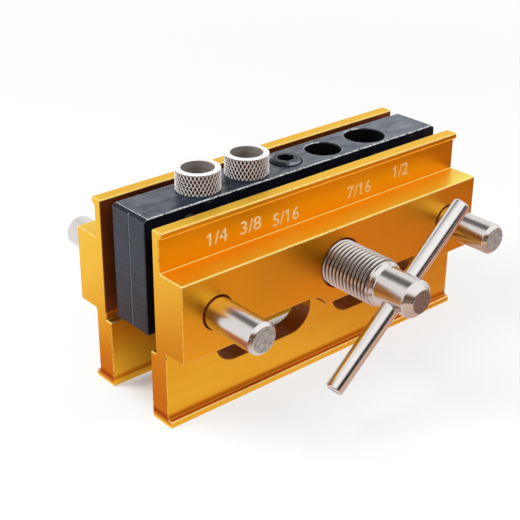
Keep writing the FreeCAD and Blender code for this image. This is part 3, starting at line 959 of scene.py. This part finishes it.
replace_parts(makeBushing("drillBushingLeft", -33.0, "bushing_left", bushing),
            "drill_bushing_left")
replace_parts(makeBushing("drillBushingRight", -15.2, "bushing_right", bushing),
            "drill_bushing_right")
print("bushings made")


sizeMarks = {
    # name, figures, place along the jaw, height of their middle, width, where the 1 begins as
    # a share of the width
    "marks": (("sizeOneQuarter", "1/4", -37.95, 27.3, 6.4, 0.0),
              ("sizeThreeEighths", "3/8", -26.3, 27.3, 7.5, None),
              ("sizeFiveSixteenths", "5/16", -13.2, 26.2, 10.0, 0.545),
              ("sizeSevenSixteenths", "7/16", 16.1, 26.5, 10.0, 0.545),
              ("sizeOneHalf", "1/2", 34.25, 27.9, 6.1, 0.0)),
    "height": 4.0,
    # corners of the short stroke on the left of a 1, from the 1's upper left corner
    "flag": ((-0.01, 0.0), (-0.01, -0.75), (-0.8, -1.25), (-0.8, -0.72)),
    # height of that corner over the figures' middle, as a share of their height
    "flagTop": 0.485,
    "wall": -15.05,
    "proud": 0.02,
    "bolder": 0.008,
    "darkColour": (0.95, 0.60, 0.27),
    "colour": (1.0, 0.78, 0.43),
    # the figures are fainter towards the right
    "faintColour": (0.95, 0.52, 0.16),
    "faintPlaces": (-15.0, 20.0),
    "faintShade": 0.7,
    "grain": 0.25,
    "grainDepth": 0.002,
    "roughness": 0.5,
}


def makeMarkFinish(name, settings):
    # The anodising burnt off by a laser: pale, matt and grainy
    material, shader = newMaterial(name)
    grain = shader.noise((settings["grain"],) * 3, detail=3.0)
    faint = shader.along("X").ramp(*settings["faintPlaces"]) * settings["faintShade"]
    colour = shader.layered(settings, "darkColour", (grain.ramp(0.3, 0.7), "colour"),
                            (faint, "faintColour"))
    normal = shader.bump(grain, settings["grainDepth"])
    shader.metal(colour=colour, roughness=settings["roughness"], metallic=0.0, normal=normal)
    return material


def addFlag(mesh, left, top, settings):
    # The short stroke at the top of a 1, as thick as the figures
    wall, proud = settings["wall"], settings["proud"]
    corners = [Vector((left + aside, wall + out, top + down)) for out in (-proud, proud)
               for aside, down in settings["flag"]]
    shape = bmesh.new()
    shape.from_mesh(mesh)
    points = [shape.verts.new(corner * mm) for corner in corners]
    for face in ((0, 1, 2, 3), (7, 6, 5, 4), (0, 4, 5, 1), (1, 5, 6, 2), (2, 6, 7, 3),
                 (3, 7, 4, 0)):
        shape.faces.new([points[corner] for corner in face])
    shape.to_mesh(mesh)
    shape.free()


def makeMark(name, figures, across, up, width, flagPlace, material, settings):
    # The figures' outline, stretched to its width and height, a film on the front wall
    curve = bpy.data.curves.new(name, "FONT")
    curve.body = figures
    curve.extrude = settings["proud"]
    curve.offset = settings["bolder"]
    holder = addObject(name + "Curve", curve)
    mesh = takeMesh(holder)
    bpy.data.objects.remove(holder)
    flat = np.empty(len(mesh.vertices) * 3)
    mesh.vertices.foreach_get("co", flat)
    flat = flat.reshape(-1, 3)
    share = (flat - flat.min(axis=0)) / (flat.max(axis=0) - flat.min(axis=0)) - 0.5
    placed = np.stack([across + share[:, 0] * width,
                       settings["wall"] - share[:, 2] * 2 * settings["proud"],
                       up + share[:, 1] * settings["height"]], axis=1)
    mesh.vertices.foreach_set("co", (placed * mm).ravel())
    if flagPlace is not None:
        left = across + (flagPlace - 0.5) * width
        addFlag(mesh, left, up + settings["height"] * settings["flagTop"], settings)
    closeSeams(mesh)
    return addPiece(name, mesh, material, "front_jaw")


markFinish = makeMarkFinish("laserMark", sizeMarks)
for mark in sizeMarks["marks"]:
    makeMark(*mark, markFinish, sizeMarks)
print("size marks made")


stage = {
    "floorHeight": -24.9,
    "floorSize": 3000.0,
    "floorColour": (0.88, 0.88, 0.87),
    # how much of it is plain white near the jig, and the distances between which it all is
    "floorGlow": 0.72,
    "floorClears": (220.0, 520.0),
    # half of the length and width of the floor between the jaws, which doesn't glow, and how
    # far its edge is blurred both ways
    "shaded": (56.0, 9.0),
    "shadedBlur": 3.0,
    "worldOnPieces": 0.55,
    # what polished metal sees: a dark warm room in front up to these heights, which fall
    # towards the right, bright boxes over it, and a dark gap overhead
    "roomColour": (0.18, 0.075, 0.035),
    "aheadColour": (0.035, 0.028, 0.026),
    "roomHeights": (0.26, 0.46),
    "roomSlope": 0.2,
    "wallColour": (1.0, 1.0, 1.0),
    "boxColour": (1.18, 1.18, 1.18),
    # Y of the directions between which the room, and what is straight ahead in it, come up
    "roomTurn": (0.05, -0.35),
    "aheadTurn": (-0.84, -0.93),
    "gapAim": (0.0, 0.5, 0.866),
    "gapTurn": (0.90, 0.985),
    "gapColour": (0.15, 0.145, 0.15),
    "cardHeight": -24.3,
    # name, corners in X and Y, how the distance is counted from X and Y, colours by distance:
    # surfaces on the floor that only reflections see
    "cards": (("frontCard", (-62, -98, 700, -18), (0.75, -0.66),
               ((-10, (0.88, 0.80, 0.80)), (12, (0.86, 0.75, 0.72)), (45, (0.70, 0.47, 0.40)),
                (75, (0.64, 0.40, 0.32)), (110, (0.58, 0.33, 0.25)), (140, (0.46, 0.25, 0.18)),
                (165, (0.34, 0.17, 0.12)), (300, (0.16, 0.09, 0.06)))),
              ("farCard", (-62, -165, 700, -98), (1.0, 0.0),
               ((-60, (0.90, 0.60, 0.42)), (20, (1.0, 0.62, 0.42)), (50, (1.0, 0.58, 0.40)),
                (100, (0.92, 0.47, 0.31)), (150, (0.80, 0.36, 0.24)), (180, (0.36, 0.17, 0.10)),
                (300, (0.16, 0.08, 0.05)))),
              ("darkCard", (-700, -700, 700, -165), (0.0, 1.0),
               ((-700, (0.03, 0.025, 0.025)), (-165, (0.12, 0.08, 0.065)))),
              ("frontLeftCard", (-700, -165, -62, -18), (-1.0, 0.0),
               ((62, (0.88, 0.85, 0.80)), (110, (0.42, 0.24, 0.15)), (200, (0.16, 0.08, 0.05)))),
              ("leftCard", (-300, -18, -58.4, 250), (-0.5, 0.87),
               ((40, (0.55, 0.16, 0.08)), (60, (0.58, 0.20, 0.10)), (72, (0.75, 0.38, 0.20)),
                (90, (0.86, 0.68, 0.50)), (110, (1.0, 1.0, 1.0))))),
    # name, place, width, height, watts
    "lamps": (("keyLamp", (-320, 160, 460), 300, 300, 2.6),
              ("fillLamp", (420, -420, 380), 400, 300, 1.6)),
}


def paintWorld(settings):
    # White to the camera, softer where it lights the pieces. Polished metal sees a studio: white
    # all round and overhead, but for a gap between two lamp boxes and the dark room in front.
    world = bpy.data.worlds.new("studio")
    bpy.context.scene.world = world
    world.use_nodes = True
    shader = Shader(world.node_tree)
    camera, glossy, through = (shader.ray(kind) for kind in ("Camera", "Glossy", "Transmission"))
    direction = shader.node("ShaderNodeTexCoord", output="Generated")
    low, high = settings["roomHeights"]
    front = shader.part(direction, "Y").ramp(*settings["roomTurn"])
    up = shader.part(direction, "Z") + shader.part(direction, "X") * settings["roomSlope"]
    room = front * up.ramp(high, low)
    gap = shader.dot(direction, settings["gapAim"]).ramp(*settings["gapTurn"])
    ahead = room * shader.part(direction, "Y").ramp(*settings["aheadTurn"])
    studio = shader.layered(settings, "wallColour", (front, "boxColour"), (gap, "gapColour"),
                            (room, "roomColour"), (ahead, "aheadColour"))
    seen = (camera + through).clamped()
    soft = settings["worldOnPieces"]
    plain = seen * (1 - soft) + soft
    colour = shader.mixed(glossy, plain, studio)
    light = shader.node("ShaderNodeBackground", inputs={"Color": colour})
    shader.node("ShaderNodeOutputWorld", inputs={"Surface": light})


def makePlane(name, corners, height, material):
    left, near, right, far = corners
    points = np.array([(left, near, height), (right, near, height),
                       (right, far, height), (left, far, height)]) * mm
    mesh = bpy.data.meshes.new(name)
    mesh.from_pydata(points, [], [(0, 1, 2, 3)])
    mesh.materials.append(material)
    plane = addObject(name, mesh)
    return plane


def makeFloor(settings):
    # Pale floor that keeps the shadow; part of what the camera sees of it is plain white, but
    # not between the jaws, where it lies in the dark
    material, shader = newMaterial("floorPaint")
    matt = shader.node("ShaderNodeBsdfDiffuse", inputs={"Color": settings["floorColour"]})
    glow = shader.node("ShaderNodeEmission", inputs={"Color": (1, 1, 1)})
    (half, deep), blur = settings["shaded"], settings["shadedBlur"]
    clear = shader.along("X").size().ramp(half - blur, half + blur)
    clear = clear.most(shader.along("Y").size().ramp(deep - blur, deep + blur))
    far = shader.node("ShaderNodeVectorMath", {"operation": "LENGTH"}, {0: shader.place},
                      output="Value") * (1 / mm)
    far = far.ramp(*settings["floorClears"])
    glowing = settings["floorGlow"] + far * (1 - settings["floorGlow"])
    factor = (shader.ray("Camera") + shader.ray("Glossy")).clamped() * clear * glowing
    both = shader.node("ShaderNodeMixShader", inputs={0: factor, 1: matt, 2: glow})
    shader.node("ShaderNodeOutputMaterial", inputs={"Surface": both})
    half = settings["floorSize"] / 2
    makePlane("studioFloor", (-half, -half, half, half), settings["floorHeight"], material)


def makeCard(name, corners, slopes, colours, height):
    # The colour changes with a distance counted from the place along X and Y
    material, shader = newMaterial(name + "Paint")
    first, last = colours[0][0], colours[-1][0]
    distance = shader.along("X") * slopes[0] + shader.along("Y") * slopes[1]
    stops = [((place - first) / (last - first), (*colour, 1.0)) for place, colour in colours]
    ramp = shader.node("ShaderNodeValToRGB", {"stops": stops},
                       {"Fac": distance.ramp(first, last)}, output="Color")
    glow = shader.node("ShaderNodeEmission", inputs={"Color": ramp})
    shader.node("ShaderNodeOutputMaterial", inputs={"Surface": glow})
    card = makePlane(name, corners, height, material)
    for kind in ("camera", "diffuse", "shadow", "transmission"):
        setattr(card, "visible_" + kind, False)


def hangLamp(name, place, width, height, watts):
    lamp = bpy.data.lights.new(name, "AREA")
    lamp.shape = "RECTANGLE"
    lamp.size = width * mm
    lamp.size_y = height * mm
    lamp.energy = watts
    holder = addObject(name, lamp)
    holder.location = Vector(place) * mm
    holder.rotation_euler = Vector(place).to_track_quat("Z", "Y").to_euler()
    holder.visible_glossy = False


paintWorld(stage)
makeFloor(stage)
for card in stage["cards"]:
    makeCard(*card, stage["cardHeight"])
for lamp in stage["lamps"]:
    hangLamp(*lamp)
print("stage and lamps set")


view = {
    "aim": (-10.51, 13.39, 7.17),
    "azimuth": -39.375,
    "elevation": 25.762,
    "roll": -0.242,
    "distance": 358.587,
    "lens": 80.113,
    "sensor": 36.0,
    "shift": (0.05773, -0.03742),
    "nearest": 10.0,
}


def placeCamera(settings):
    around, above = math.radians(settings["azimuth"]), math.radians(settings["elevation"])
    back = Vector((math.sin(around) * math.cos(above), -math.cos(around) * math.cos(above),
                   math.sin(above)))
    right = (-back).cross(Vector((0, 0, 1))).normalized()
    up = back.cross(right)
    turn = Matrix((right, up, back)).transposed() @ Matrix.Rotation(
        math.radians(settings["roll"]), 3, "Z")
    lens = bpy.data.cameras.new("camera")
    lens.sensor_width = settings["sensor"]
    lens.lens = settings["lens"]
    lens.shift_x, lens.shift_y = settings["shift"]
    lens.clip_start = settings["nearest"] * mm
    camera = addObject("camera", lens)
    place = (Vector(settings["aim"]) + back * settings["distance"]) * mm
    camera.matrix_world = Matrix.Translation(place) @ turn.to_4x4()
    bpy.context.scene.camera = camera


placeCamera(view)
bpy.context.scene.view_settings.view_transform = "Standard"
print("camera placed")
